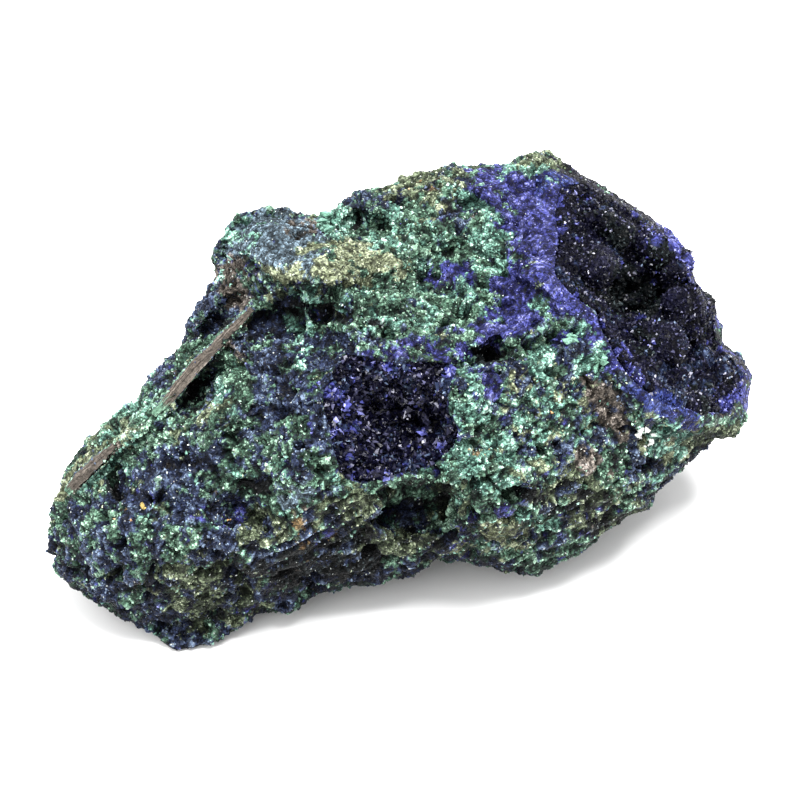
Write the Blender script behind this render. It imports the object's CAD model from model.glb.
"""The looks of an azurite and malachite specimen: a granular rock with two hollows lined with crystals.

Places on the rock are given on its show face, in millimetres: u runs to the right, v up the face and
w out of it. Everything else is in the row frame, in metres.
"""

import logging
import math
from dataclasses import dataclass, field
from enum import Enum

import bpy
import numpy as np
from mathutils import Matrix, Vector, bvhtree, noise


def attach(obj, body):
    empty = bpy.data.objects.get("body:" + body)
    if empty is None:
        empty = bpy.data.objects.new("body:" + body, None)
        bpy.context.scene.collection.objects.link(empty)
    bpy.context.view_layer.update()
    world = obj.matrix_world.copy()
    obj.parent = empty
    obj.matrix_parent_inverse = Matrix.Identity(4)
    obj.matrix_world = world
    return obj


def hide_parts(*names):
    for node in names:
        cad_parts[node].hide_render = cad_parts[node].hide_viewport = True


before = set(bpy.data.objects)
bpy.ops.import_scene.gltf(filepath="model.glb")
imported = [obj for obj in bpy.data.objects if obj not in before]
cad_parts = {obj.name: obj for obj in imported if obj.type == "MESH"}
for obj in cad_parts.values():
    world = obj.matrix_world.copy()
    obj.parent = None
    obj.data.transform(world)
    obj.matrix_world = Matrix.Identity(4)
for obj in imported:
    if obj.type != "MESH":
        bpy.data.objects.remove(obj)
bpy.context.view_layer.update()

MM = 0.001
NOISE_SEED = 1
log = logging.getLogger("specimen")

Pair = tuple[float, float]
Triple = tuple[float, float, float]


# --- Steps and noise --------------------------------------------------------------------------


def smooth_step(t: np.ndarray) -> np.ndarray:
    """0 below 0, 1 above 1, and an even S between."""
    t = np.clip(t, 0.0, 1.0)
    return t * t * (3.0 - 2.0 * t)


def swells(points: np.ndarray, grain: float, seed: float, octaves: int = 3) -> np.ndarray:
    """Fractal noise.

    Args:
        points: Places in metres, one to a row.
        grain: The size of its largest swells, in millimetres.
        seed: Shifts the noise to another part of its field.
        octaves: How many times finer swells are added.

    Returns:
        A value of about -1 to 1 for each place.
    """
    shift = Vector((seed * 13.7, seed * 7.9, seed * 3.3))
    scale = 1.0 / (grain * MM)
    return np.array([noise.fractal(Vector(p) * scale + shift, 0.9, 2.1, octaves) for p in points])


def warped(points: np.ndarray, grain: float, reach: float, seed: float) -> np.ndarray:
    """Places shifted about, so that what is read there has wavy borders.

    Args:
        points: Places in metres, one to a row.
        grain: The size of the waves, in millimetres.
        reach: How far a place shifts at most, in millimetres.
        seed: Shifts the waves.

    Returns:
        The shifted places, in metres.
    """
    shift = Vector((seed * 3.1, seed * 17.3, seed * 9.7))
    scale = 1.0 / (grain * MM)
    return points + reach * MM * np.array([noise.noise_vector(Vector(p) * scale + shift) for p in points])


def domes(points: np.ndarray, grain: float, seed: float) -> tuple[np.ndarray, np.ndarray]:
    """Splits space into rounded cells, with a dome on each.

    Args:
        points: Places in metres, one to a row.
        grain: The cells' spacing in millimetres.
        seed: Shifts the cells.

    Returns:
        How high the dome stands at each place, from 0.55 in a cell's middle to -0.45 at its border,
        and a random value from 0 to 1 that all of the cell shares.
    """
    shift = Vector((seed * 11.3, seed * 5.7, seed * 19.1))
    scale = 1.0 / (grain * MM)
    far, chance = np.empty(len(points)), np.empty(len(points))
    for i, p in enumerate(points):
        distances, middles = noise.voronoi(Vector(p) * scale + shift)
        far[i] = distances[0] / max(distances[1], 1e-6)
        chance[i] = noise.cell_vector(middles[0] * 7.31 + shift)[0]
    return 0.55 - far.clip(0.0, 1.0) ** 1.6, chance


# --- The show face ----------------------------------------------------------------------------


@dataclass(frozen=True)
class ShowFace:
    """Where the show face stands, and the eye that it is laid out for."""

    lean: float = math.radians(40.0)
    turn: float = math.radians(-24.0)
    eye: float = 355.6  # how far off it is, in millimetres
    origin: Triple = (0.0, -2.4, 28.0)  # in millimetres

    def axes(self) -> np.ndarray:
        """Works out which way the show face lies.

        Returns:
            The directions of u, v and w in the row frame, one to a row.
        """
        right = np.array([math.cos(self.turn), math.sin(self.turn), 0.0])
        level = math.cos(self.lean)
        out = np.array([math.sin(self.turn) * level, -math.cos(self.turn) * level, math.sin(self.lean)])
        return np.array([right, np.cross(out, right), out])

    def laid_out(self, points: np.ndarray) -> np.ndarray:
        """Finds where places lie on the show face.

        Args:
            points: Places in the row frame, in metres, one to a row.

        Returns:
            Their u, v and w in millimetres, one to a row.
        """
        local = (points / MM - np.array(self.origin)) @ self.axes().T
        near = (self.eye - local[:, 2]) / self.eye
        return np.column_stack([local[:, 0] / near, local[:, 1] / near, local[:, 2]])

    def placed(self, laid: np.ndarray) -> np.ndarray:
        """Finds where spots of the show face lie in the row frame.

        Args:
            laid: The spots' u, v and w in millimetres, one to a row.

        Returns:
            Their places in metres, one to a row.
        """
        near = (self.eye - laid[:, 2]) / self.eye
        local = np.column_stack([laid[:, 0] * near, laid[:, 1] * near, laid[:, 2]])
        return (local @ self.axes() + np.array(self.origin)) * MM

    def facing(self, normals: np.ndarray, start: float, over: float) -> np.ndarray:
        """How far each direction looks to the show side, from 0 at -start to 1 once over further on."""
        return smooth_step((normals @ self.axes()[2] + start) / over)


SHOW = ShowFace()


def turned(laid: np.ndarray, at: Pair, degrees: float) -> tuple[np.ndarray, np.ndarray]:
    """Measures spots of the show face from one of them.

    Args:
        laid: The spots' u, v and w in millimetres, one to a row.
        at: The u and v that they are measured from.
        degrees: The direction that they are measured along, anticlockwise from u.

    Returns:
        How far each is along that direction, and how far across it, in millimetres.
    """
    turn = math.radians(degrees)
    du, dv = laid[:, 0] - at[0], laid[:, 1] - at[1]
    return du * math.cos(turn) + dv * math.sin(turn), dv * math.cos(turn) - du * math.sin(turn)


# --- Minerals ---------------------------------------------------------------------------------


class Mineral(Enum):
    """What a spot of the surface is made of: the dark, the usual and the bright colour of its grains."""

    GREEN = ((0.003, 0.010, 0.007), (0.084, 0.165, 0.112), (0.37, 0.57, 0.43))
    MINT = ((0.010, 0.032, 0.025), (0.180, 0.370, 0.290), (0.60, 0.86, 0.74))
    SLATE = ((0.001, 0.002, 0.007), (0.025, 0.036, 0.080), (0.18, 0.24, 0.34))
    PALE = ((0.020, 0.030, 0.038), (0.120, 0.170, 0.210), (0.30, 0.41, 0.50))
    VIOLET = ((0.002, 0.002, 0.028), (0.050, 0.056, 0.225), (0.27, 0.28, 0.62))
    ROYAL = ((0.002, 0.003, 0.04), (0.038, 0.056, 0.200), (0.19, 0.23, 0.54))
    NIGHT = ((0.0005, 0.0005, 0.002), (0.003, 0.003, 0.011), (0.07, 0.07, 0.13))
    OLIVE = ((0.010, 0.015, 0.008), (0.140, 0.175, 0.105), (0.50, 0.56, 0.39))
    TAN = ((0.050, 0.058, 0.030), (0.265, 0.300, 0.190), (0.52, 0.57, 0.40))
    BROWN = ((0.008, 0.006, 0.004), (0.122, 0.104, 0.088), (0.35, 0.31, 0.28))
    OCHRE = ((0.06, 0.036, 0.018), (0.25, 0.17, 0.08), (0.50, 0.38, 0.23))
    SHADE = ((0.0004, 0.0006, 0.0008), (0.004, 0.006, 0.007), (0.05, 0.065, 0.07))
    CLEAR = ((0.03, 0.03, 0.05), (0.22, 0.22, 0.28), (0.70, 0.70, 0.80))

    @property
    def column(self) -> int:
        """Its place among the minerals, and its column in a table of scores."""
        return MINERALS.index(self)

    def shaded(self, brightness: np.ndarray) -> np.ndarray:
        """Colours from the mineral's dark at 0 through its usual at 0.5 to its bright at 1."""
        stops = np.array(self.value)
        return np.column_stack([np.interp(brightness, (0.0, 0.5, 1.0), stops[:, i]) for i in range(3)])


MINERALS = tuple(Mineral)
GREEN, MINT, SLATE, PALE, VIOLET, ROYAL, NIGHT, OLIVE, TAN, BROWN, OCHRE, SHADE, CLEAR = MINERALS


@dataclass(frozen=True)
class Patch:
    """A place on the show face where one mineral takes over."""

    name: str
    mineral: Mineral
    at: Pair
    size: Pair  # half-widths
    turn: float  # degrees, anticlockwise from u
    strength: float  # the mineral's share in the middle


PATCHES = (
    Patch("near lobe, mixed", SLATE, (-40.0, -25.6), (15.2, 12.0), 0, 0.55),
    Patch("near lobe lower rim", SLATE, (-32.0, -33.6), (14.4, 6.4), -10, 0.4),
    Patch("green of the near lobe", GREEN, (-50.5, -21.0), (5.5, 7.5), 0, 0.5),
    Patch("navy of the lobe", SLATE, (-36.0, -11.8), (9.5, 5.2), -15, 0.75),
    Patch("green lump of the lobe", GREEN, (-29.0, -13.2), (3.0, 1.6), -20, 0.7),
    Patch("green foot of the lobe", GREEN, (-33.0, -25.0), (6.5, 4.6), -20, 0.8),
    Patch("olive foot of the lobe", OLIVE, (-29.6, -30.4), (7.2, 5.6), 0, 0.75),
    Patch("olive in the lobe's pit", OLIVE, (-22.1, -20.5), (3.8, 3.2), 0, 0.8),
    Patch("shade in the lobe's pit", SHADE, (-23.4, -14.0), (2.2, 1.2), 10, 0.5),
    Patch("blue streak on the lobe", SLATE, (-29.8, -23.7), (2.2, 4.5), -50, 0.9),
    Patch("shade in the small hole", SHADE, (-45.7, -13.6), (1.2, 2.1), 10, 0.97),
    Patch("near tip", SLATE, (-52.0, -25.6), (4.0, 7.2), 0, 0.5),
    Patch("slope malachite", GREEN, (-44.0, -5.6), (7.2, 5.1), 40, 0.85),
    Patch("slope mint", MINT, (-43.0, -3.4), (5.6, 2.6), 45, 0.45),
    Patch("slope olive", OLIVE, (-46.5, -7.5), (5.6, 2.6), 45, 0.45),
    Patch("olive edge of the slope", TAN, (-51.5, -12.5), (4.2, 2.9), 40, 0.6),
    Patch("brown streak of the slope", BROWN, (-49.3, -11.2), (4.8, 1.3), 50, 0.6),
    Patch("mint strip by the lower plate", MINT, (-48.2, -11.8), (5.0, 0.8), 42, 0.9),
    Patch("shade of the blade's hole", SHADE, (-33.4, 1.2), (2.0, 2.8), -40, 0.7),
    Patch("bright lip of the hole", MINT, (-27.8, 3.5), (1.4, 4.2), -20, 0.9),
    Patch("blue above the blade", SLATE, (-29.6, 14.4), (4.2, 3.5), -40, 0.7),
    Patch("dark of the slit", SHADE, (-27.8, 10.9), (3.2, 1.1), 45, 0.8),
    Patch("slate right of the blade", SLATE, (-21.5, 1.0), (4.6, 8.0), 20, 0.6),
    Patch("green lip of the blade's hole", GREEN, (-26.6, 4.4), (1.8, 6.4), 20, 0.8),
    Patch("brown by the blade", BROWN, (-26.4, 8.6), (1.5, 2.6), 20, 0.7),
    Patch("block's pale top", PALE, (-18.9, 25.4), (8.0, 4.6), -8, 0.95),
    Patch("block's mint edge", MINT, (-25.6, 26.4), (2.9, 4.8), 0, 0.35),
    Patch("block's dark flecks", BROWN, (-15.0, 27.5), (2.9, 1.6), 0, 0.45),
    Patch("block's left edge", BROWN, (-27.2, 18.6), (2.4, 4.0), 15, 0.75),
    Patch("block's tan", TAN, (-17.0, 20.6), (3.6, 1.6), -8, 0.65),
    Patch("block's pale chin", PALE, (-13.6, 20.6), (3.0, 1.5), 0, 0.8),
    Patch("recess under the block", SHADE, (-18.9, 10.4), (5.8, 2.4), -8, 0.15),
    Patch("recess's slate", SLATE, (-17.3, 8.0), (4.8, 5.4), 0, 0.55),
    Patch("strut", MINT, (-16.0, 11.2), (1.9, 5.4), 0, 0.5),
    Patch("shade of the pit behind", SHADE, (-7.0, 28.9), (0.9, 1.1), 0, 0.9),
    Patch("malachite behind the block", MINT, (-10.2, 28.4), (2.6, 2.8), -20, 0.95),
    Patch("malachite right of the pit", MINT, (-3.2, 27.6), (3.2, 3.2), 0, 0.7),
    Patch("slate by the pit", SLATE, (-5.6, 31.6), (2.2, 1.4), 0, 0.5),
    Patch("olive crest", OLIVE, (4.0, 34.2), (6.7, 2.9), -5, 0.85),
    Patch("crest's rust specks", OCHRE, (3.2, 33.9), (4.8, 1.9), 0, 0.02),
    Patch("green under the crest", MINT, (1.6, 28.5), (6.4, 3.2), 0, 0.6),
    Patch("peak's olive", OLIVE, (21.6, 38.4), (5.4, 1.9), 0, 0.8),
    Patch("peak's mint strip", MINT, (18.2, 36.6), (5.2, 1.2), 3, 0.97),
    Patch("peak's mint pocket", MINT, (16.6, 35.4), (2.6, 1.5), 0, 0.95),
    Patch("peak's blue", ROYAL, (23.4, 34.6), (5.6, 1.7), 8, 0.9),
    Patch("mint specks in the peak's blue", MINT, (19.2, 35.6), (5.0, 2.0), 0, 0.35),
    Patch("valley green", GREEN, (4.0, 20.0), (15.2, 9.9), 0, 0.75),
    Patch("valley mint", MINT, (2.0, 20.0), (13.0, 8.0), 0, 0.25),
    Patch("valley blue", SLATE, (-7.7, 20.5), (2.9, 3.2), 0, 0.35),
    Patch("valley blue spot", VIOLET, (8.0, 19.8), (3.5, 2.2), 0, 0.75),
    Patch("block's tan shoulder", TAN, (-7.6, 21.8), (7.6, 3.2), -6, 0.95),
    Patch("green of the shoulder", GREEN, (-6.0, 22.4), (7.6, 3.2), -6, 0.12),
    Patch("valley shade", SHADE, (-9.6, 13.4), (8.8, 1.4), -5, 0.3),
    Patch("slate pocket under the crest", SLATE, (9.8, 30.2), (3.4, 1.9), -15, 0.75),
    Patch("shade of that pocket", SHADE, (7.6, 31.0), (0.9, 1.0), 0, 0.85),
    Patch("tan streak under the crest", TAN, (5.0, 29.6), (2.4, 0.9), 30, 0.7),
    Patch("mint by the violet", MINT, (15.2, 26.4), (3.4, 3.2), 0, 0.95),
    Patch("mint knob", MINT, (16.2, 20.8), (2.4, 2.2), 0, 0.95),
    Patch("mint spot", MINT, (10.4, 17.0), (1.9, 2.2), 0, 0.7),
    Patch("slate rim of the vug", SLATE, (-8.8, 5.6), (5.4, 4.8), 0, 0.4),
    Patch("violet rim of the vug", VIOLET, (-13.4, -3.0), (1.6, 5.0), 5, 0.55),
    Patch("violet brow of the vug", VIOLET, (1.6, 8.4), (8.4, 1.4), 5, 0.6),
    Patch("green left of the vug", GREEN, (-13.6, -3.2), (3.5, 5.4), 0, 0.3),
    Patch("slate left of the vug", SLATE, (-14.8, -3.2), (3.5, 5.4), 0, 0.4),
    Patch("azurite band, top", VIOLET, (17.6, 32.0), (6.4, 4.2), -40, 0.85),
    Patch("mint strip beside the band", MINT, (13.6, 30.8), (5.6, 0.8), -32, 0.9),
    Patch("royal streak in the band", ROYAL, (22.6, 30.6), (0.6, 2.8), 15, 0.7),
    Patch("azurite band, upper", VIOLET, (23.7, 26.4), (5.8, 6.4), 0, 0.95),
    Patch("azurite band, middle", VIOLET, (23.2, 17.6), (7.7, 5.8), 10, 0.95),
    Patch("azurite band, lower", VIOLET, (28.8, 11.2), (6.4, 4.2), -35, 0.9),
    Patch("azurite band, left reach", VIOLET, (16.0, 11.2), (5.8, 2.9), 15, 0.85),
    Patch("azurite band, along the hollow", VIOLET, (33.6, 8.8), (4.8, 3.2), -45, 0.9),
    Patch("azurite tail", VIOLET, (11.2, 8.0), (4.2, 1.6), 10, 0.7),
    Patch("pale specks in the lower band", PALE, (27.5, 10.0), (6.0, 3.6), -30, 0.2),
    Patch("mint specks in the lower band", MINT, (27.5, 10.0), (6.0, 3.6), -30, 0.2),
    Patch("green ring in the band", MINT, (21.6, 15.5), (1.3, 1.0), 0, 0.8),
    Patch("mint lump by the slit", MINT, (11.5, 6.1), (1.8, 2.9), 0, 0.9),
    Patch("mint lump by the vug", MINT, (11.5, -1.3), (2.9, 4.2), 0, 0.85),
    Patch("violet between the lumps", VIOLET, (14.4, 2.4), (2.6, 4.8), 20, 0.45),
    Patch("malachite block", GREEN, (12.8, -12.0), (7.7, 6.7), -10, 0.8),
    Patch("malachite block, pale", MINT, (12.5, -10.9), (6.6, 5.0), -10, 0.7),
    Patch("malachite block, olive", OLIVE, (8.0, -16.0), (4.2, 3.5), 0, 0.4),
    Patch("rust in the malachite block", OCHRE, (13.8, -8.5), (1.9, 1.0), 0, 0.06),
    Patch("shade of the block's hole", SHADE, (19.0, -14.6), (1.7, 0.8), 15, 0.7),
    Patch("blue by the block's hole", VIOLET, (17.9, -17.9), (2.6, 1.3), 20, 0.6),
    Patch("tan below the hole", TAN, (17.3, -21.6), (4.8, 1.9), -15, 0.7),
    Patch("mint below the hole", MINT, (22.4, -19.2), (3.5, 2.2), -15, 0.5),
    Patch("lip under the vug", GREEN, (0.0, -14.1), (8.3, 1.6), 8, 0.7),
    Patch("cave", SHADE, (2.4, -16.2), (5.0, 2.0), 8, 0.4),
    Patch("olive lump by the cave", OLIVE, (-5.5, -17.6), (4.0, 3.5), 0, 0.7),
    Patch("olive layers left of the cave", OLIVE, (-12.6, -19.0), (8.0, 2.0), 34, 0.5),
    Patch("blue-grey left of the cave", PALE, (-16.2, -15.2), (3.0, 2.0), 30, 0.45),
    Patch("far half, speckled", SLATE, (27.2, 0.0), (11.2, 9.6), 0, 0.4),
    Patch("far half, green", GREEN, (22.4, -1.6), (6.4, 8.0), 0, 0.4),
    Patch("far half, mint", MINT, (25.0, -1.0), (8.0, 7.0), 0, 0.3),
    Patch("far half, tan", TAN, (25.0, -2.0), (8.0, 8.0), 0, 0.2),
    Patch("mint shards, left", MINT, (23.2, 6.4), (1.9, 3.2), 0, 0.8),
    Patch("mint shards, right", MINT, (30.7, 6.1), (2.2, 3.2), -30, 0.8),
    Patch("brown patch, upper", BROWN, (32.8, -0.8), (5.0, 2.4), -52, 0.9),
    Patch("brown patch, lower", BROWN, (30.1, -9.9), (2.2, 2.6), 0, 0.75),
    Patch("olive rim by the quartz", OLIVE, (43.5, -6.7), (4.5, 2.6), 20, 0.8),
    Patch("pale rim by the quartz", TAN, (43.8, -6.6), (4.6, 2.6), 20, 0.85),
    Patch("mint specks by the quartz", MINT, (43.4, -6.4), (4.8, 2.8), 20, 0.5),
    Patch("azurite rim of the hollow", ROYAL, (42.4, -1.1), (6.4, 1.8), -32, 0.95),
    Patch("azurite rim, far", VIOLET, (51.5, 0.0), (3.8, 1.6), 15, 0.9),
    Patch("azurite edge of the tip", VIOLET, (55.7, 4.0), (1.3, 5.4), 0, 0.8),
    Patch("green edge of the tip", GREEN, (51.8, -3.8), (4.2, 1.3), 15, 0.75),
    Patch("slate in the tip's edge", SLATE, (52.4, -3.4), (4.0, 1.6), 15, 0.3),
    Patch("olive under the tip", OLIVE, (50.4, -5.8), (4.8, 1.3), 15, 0.8),
    Patch("underside, middle", SLATE, (-11.2, -25.6), (16.0, 5.8), 10, 0.5),
    Patch("underside, middle shade", SHADE, (-10.4, -25.2), (12.8, 3.2), 12, 0.75),
    Patch("underside's rust", OCHRE, (-14.7, -22.4), (4.4, 3.2), 0, 0.06),
    Patch("underside, olive", OLIVE, (-0.5, -22.8), (6.0, 2.2), 0, 0.6),
    Patch("underside, right", OLIVE, (33.6, -17.6), (13.6, 4.2), -22, 0.5),
    Patch("underside, right shade", SHADE, (33.6, -20.0), (14.4, 3.2), -25, 0.4),
    Patch("underside, far green", GREEN, (25.6, -25.6), (9.6, 3.5), -15, 0.5),
    Patch("underside, lowest", SLATE, (8.0, -28.0), (11.2, 2.6), 0, 0.5),
    Patch("lobe's ochre chips", OCHRE, (-43.5, -17.6), (2.6, 1.6), 20, 0.03),
    Patch("rim of the hollow, upper", NIGHT, (35.5, 31.4), (11.0, 2.4), -38, 0.9),
    Patch("violet of the upper rim", VIOLET, (44.6, 24.8), (6.0, 2.0), -50, 0.8),
    Patch("rim of the hollow, far", VIOLET, (48.8, 17.6), (2.4, 8.0), 24, 0.95),
    Patch("rim of the hollow, dark", NIGHT, (49.6, 17.8), (1.8, 6.0), 24, 0.6),
    Patch("dark of the slit by the mint lumps", SHADE, (14.0, 7.4), (2.4, 1.4), 10, 0.9),
    Patch("royal edge of the hollow", ROYAL, (44.0, 24.6), (1.6, 4.0), 42, 0.8),
    Patch("rim above the tip", NIGHT, (54.0, 9.0), (2.6, 3.6), 0, 0.7),
)

# Each mineral's share where no patch lies, and how far it comes and goes from place to place.
GROUND_SHARES = {
    GREEN: (0.42, 1.4),
    MINT: (0.08, 1.6),
    SLATE: (0.30, 1.5),
    VIOLET: (0.05, 2.6),
    ROYAL: (0.004, 2.6),
    PALE: (0.01, 2.0),
    NIGHT: (0.02, 2.0),
    OLIVE: (0.06, 2.2),
    TAN: (0.02, 2.2),
    BROWN: (0.02, 2.4),
    OCHRE: (0.001, 1.6),
    SHADE: (0.02, 1.6),
}


@dataclass(frozen=True)
class MineralMap:
    """Says which minerals make up each spot of the surface."""

    ground: dict[Mineral, Pair]
    patches: tuple[Patch, ...]
    drift: float = 11.0  # how far apart a mineral is common where no patch lies, in millimetres
    border: float = 3.2  # the size of the waves in a patch's border, in millimetres
    clump: float = 2.6  # the size of the clumps that all minerals grow in, in millimetres
    clumping: float = 3.6  # how strongly they do

    def mask(self, patch: Patch, laid: np.ndarray, ragged: np.ndarray) -> np.ndarray:
        """Works out how fully each spot lies in a patch.

        Args:
            patch: The patch.
            laid: The spots' u, v and w in millimetres, one to a row.
            ragged: How far the border strays at each spot, from about -1 to 1.

        Returns:
            1 for a spot inside, 0 for one outside, and less than 1 near the border.
        """
        along, across = turned(laid, patch.at, patch.turn)
        far = np.hypot(along / patch.size[0], across / patch.size[1])
        return smooth_step((1.25 + 0.55 * ragged - far) / 0.4)

    def scores(self, points: np.ndarray, facing: np.ndarray) -> np.ndarray:
        """Works out how likely each mineral is at each spot.

        Args:
            points: Places in metres, one to a row.
            facing: How far each spot faces the show side, from 0 to 1; patches reach only those.

        Returns:
            One row for each spot and one column for each mineral; the highest in a row wins.
        """
        found = np.full((len(points), len(MINERALS)), 1e-4)
        for mineral, (share, spread) in self.ground.items():
            column = mineral.column
            found[:, column] = share * np.exp(spread * swells(points, self.drift, 3.0 + column, 2))
        found /= found.sum(axis=1, keepdims=True)
        laid = SHOW.laid_out(points)
        ragged = swells(points, self.border, 21.0, 4)
        for patch in self.patches:
            weight = patch.strength * self.mask(patch, laid, ragged) * facing
            found *= (1.0 - weight)[:, None]
            found[:, patch.mineral.column] += weight
        found = np.log(found)
        for column in range(len(MINERALS)):
            found[:, column] += self.clumping * swells(points, self.clump, 40.0 + column)
        return found

    def chosen(self, scores: np.ndarray, draw: np.random.Generator, stray: float) -> np.ndarray:
        """The column of the winning mineral at each spot, after a random stray that sprinkles others in."""
        return (scores + stray * draw.gumbel(0.0, 1.0, scores.shape)).argmax(axis=1)

    def colours(self, chosen: np.ndarray, brightness: np.ndarray) -> np.ndarray:
        """Colours each spot.

        Args:
            chosen: The column of each spot's mineral.
            brightness: How bright its grains are, 0.5 being usual.

        Returns:
            The colours, one to a row.
        """
        found = np.zeros((len(chosen), 3))
        for column, mineral in enumerate(MINERALS):
            these = chosen == column
            found[these] = mineral.shaded(brightness[these])
        return found


# --- Meshes -----------------------------------------------------------------------------------


def rows_of(items: bpy.types.bpy_prop_collection, attribute: str, kind: type) -> np.ndarray:
    """Reads one attribute of all the items.

    Args:
        items: Points, directions or triangles of a mesh.
        attribute: What is read, three numbers for each.
        kind: The numbers' type in Blender.

    Returns:
        The numbers, one item to a row.
    """
    flat = np.empty(len(items) * 3, kind)
    items.foreach_get(attribute, flat)
    return flat.reshape(-1, 3)


def places_of(mesh: bpy.types.Mesh) -> np.ndarray:
    """The mesh's points, one to a row."""
    return rows_of(mesh.vertices, "co", np.float32).astype(float)


def normals_of(mesh: bpy.types.Mesh) -> np.ndarray:
    """The direction in which the surface looks at each point, one to a row."""
    return rows_of(mesh.vertex_normals, "vector", np.float32).astype(float)


def triangles_of(mesh: bpy.types.Mesh) -> np.ndarray:
    """The points' numbers at each triangle's corners, one triangle to a row."""
    mesh.calc_loop_triangles()
    return rows_of(mesh.loop_triangles, "vertices", np.int32)


def tree_of(mesh: bpy.types.Mesh) -> bvhtree.BVHTree:
    """The mesh's triangles, sorted so that the nearest of them is found fast."""
    return bvhtree.BVHTree.FromPolygons(places_of(mesh).tolist(), triangles_of(mesh).tolist())


def move_points(mesh: bpy.types.Mesh, points: np.ndarray) -> None:
    """Puts the mesh's points at these places."""
    mesh.vertices.foreach_set("co", points.astype(np.float32).ravel())
    mesh.update()


def new_piece(
    name: str, node: str, mesh: bpy.types.Mesh, colours: np.ndarray, material: bpy.types.Material
) -> bpy.types.Object:
    """Adds a piece that stands for a solid of the frame, or for part of it.

    Args:
        name: The piece's name.
        node: The solid's name.
        mesh: Its shape.
        colours: The colour of each of its points, which the material reads.
        material: What it is made of.

    Returns:
        The piece.
    """
    layer = mesh.color_attributes.new("tint", "FLOAT_COLOR", "POINT")
    rows = np.column_stack([colours, np.ones(len(colours))])
    layer.data.foreach_set("color", rows.astype(np.float32).ravel())
    mesh.materials.append(material)
    piece = bpy.data.objects.new(name, mesh)
    bpy.context.scene.collection.objects.link(piece)
    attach(piece, "root")
    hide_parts(node)
    return piece


def fine_copy(node: str, voxel: float, smoothing: int) -> bpy.types.Mesh:
    """Turns a solid of the frame into a fine, even mesh.

    Args:
        node: The solid's name.
        voxel: The size of the new faces, in millimetres.
        smoothing: How many times the old facets are evened out.

    Returns:
        A new mesh in the same place.
    """
    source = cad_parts[node]
    worked = bpy.data.objects.new(node + "_worked", source.data.copy())
    bpy.context.scene.collection.objects.link(worked)
    weld = worked.modifiers.new("Weld", "WELD")
    weld.merge_threshold = 0.001 * MM
    remesh = worked.modifiers.new("Remesh", "REMESH")
    remesh.mode = "VOXEL"
    remesh.voxel_size = voxel * MM
    smooth = worked.modifiers.new("Smooth", "SMOOTH")
    smooth.factor = 0.5
    smooth.iterations = smoothing
    graph = bpy.context.evaluated_depsgraph_get()
    mesh = bpy.data.meshes.new_from_object(worked.evaluated_get(graph))
    bpy.data.objects.remove(worked)
    mesh.materials.clear()
    return mesh


@dataclass(frozen=True)
class Surface:
    """Spots scattered over a mesh: where they are, which way they look and the nearest point's index."""

    spots: np.ndarray
    normals: np.ndarray
    nearest: np.ndarray

    def part(self, these: np.ndarray) -> "Surface":
        """Only the spots of these numbers."""
        return Surface(self.spots[these], self.normals[these], self.nearest[these])


def scatter(mesh: bpy.types.Mesh, count: int, weights: np.ndarray, seed: int) -> Surface:
    """Scatters spots over a mesh.

    Args:
        mesh: The mesh to cover.
        count: How many spots.
        weights: How thickly they lie round each of the mesh's points.
        seed: Settles the random draws.

    Returns:
        The spots.
    """
    corners = triangles_of(mesh)
    points, normals = places_of(mesh), normals_of(mesh)
    first, second, third = (points[corners[:, i]] for i in range(3))
    areas = np.linalg.norm(np.cross(second - first, third - first), axis=1) * weights[corners].mean(axis=1)
    draw = np.random.default_rng(seed)
    steps = (np.arange(count) + draw.random(count)) / count
    picked = np.searchsorted(np.cumsum(areas) / areas.sum(), steps).clip(0, len(areas) - 1)
    share = draw.random((count, 2))
    over = share.sum(axis=1) > 1.0
    share[over] = 1.0 - share[over]
    mix = np.column_stack([1.0 - share.sum(axis=1), share])
    found = corners[picked]
    spots = (points[found] * mix[:, :, None]).sum(axis=1)
    looks = (normals[found] * mix[:, :, None]).sum(axis=1)
    looks /= np.linalg.norm(looks, axis=1, keepdims=True)
    return Surface(spots, looks, found[np.arange(count), mix.argmax(axis=1)])


class GrainShape(Enum):
    """The form of one small grain or crystal, about 2 across, on its own +Z: the corners of an octahedron."""

    BLOCK = (
        (0.9, 0.2, 0.1), (-0.1, 0.9, -0.1), (-0.9, -0.1, 0.1), (0.1, -0.9, 0), (0.15, 0.1, 0.8), (0, 0, -0.8)
    )
    TABLET = ((1.0, 0, 0), (0, 0.8, 0.2), (-1.0, 0, 0.1), (0, -0.8, 0), (0.45, 0.15, 0.7), (-0.3, 0, -0.7))
    SPEAR = ((0.9, 0.2, 0.1), (0, 0.7, 0.2), (-0.9, -0.2, 0), (0, -0.7, 0.1), (0.3, 0.1, 1.2), (0, 0, -0.8))

    def template(self) -> tuple[np.ndarray, np.ndarray]:
        """Its points and its triangles."""
        rows = np.array(self.value, float)
        return rows, hull_triangles(rows)


def hull_triangles(points: np.ndarray) -> np.ndarray:
    """Covers the convex shape that a few points span.

    Args:
        points: Its corners, one to a row.

    Returns:
        The numbers of each triangle's corners, one triangle to a row, all facing outwards.
    """
    found, middle, count = [], points.mean(axis=0), len(points)
    for a in range(count):
        for b in range(a + 1, count):
            for c in range(b + 1, count):
                side = np.cross(points[b] - points[a], points[c] - points[a])
                heights = (points - points[a]) @ side
                if np.abs(side).sum() > 1e-9 and (heights.max() < 1e-6 or heights.min() > -1e-6):
                    outward = side @ (points[a] - middle) > 0
                    found.append((a, b, c) if outward else (a, c, b))
    return np.array(found)


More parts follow.
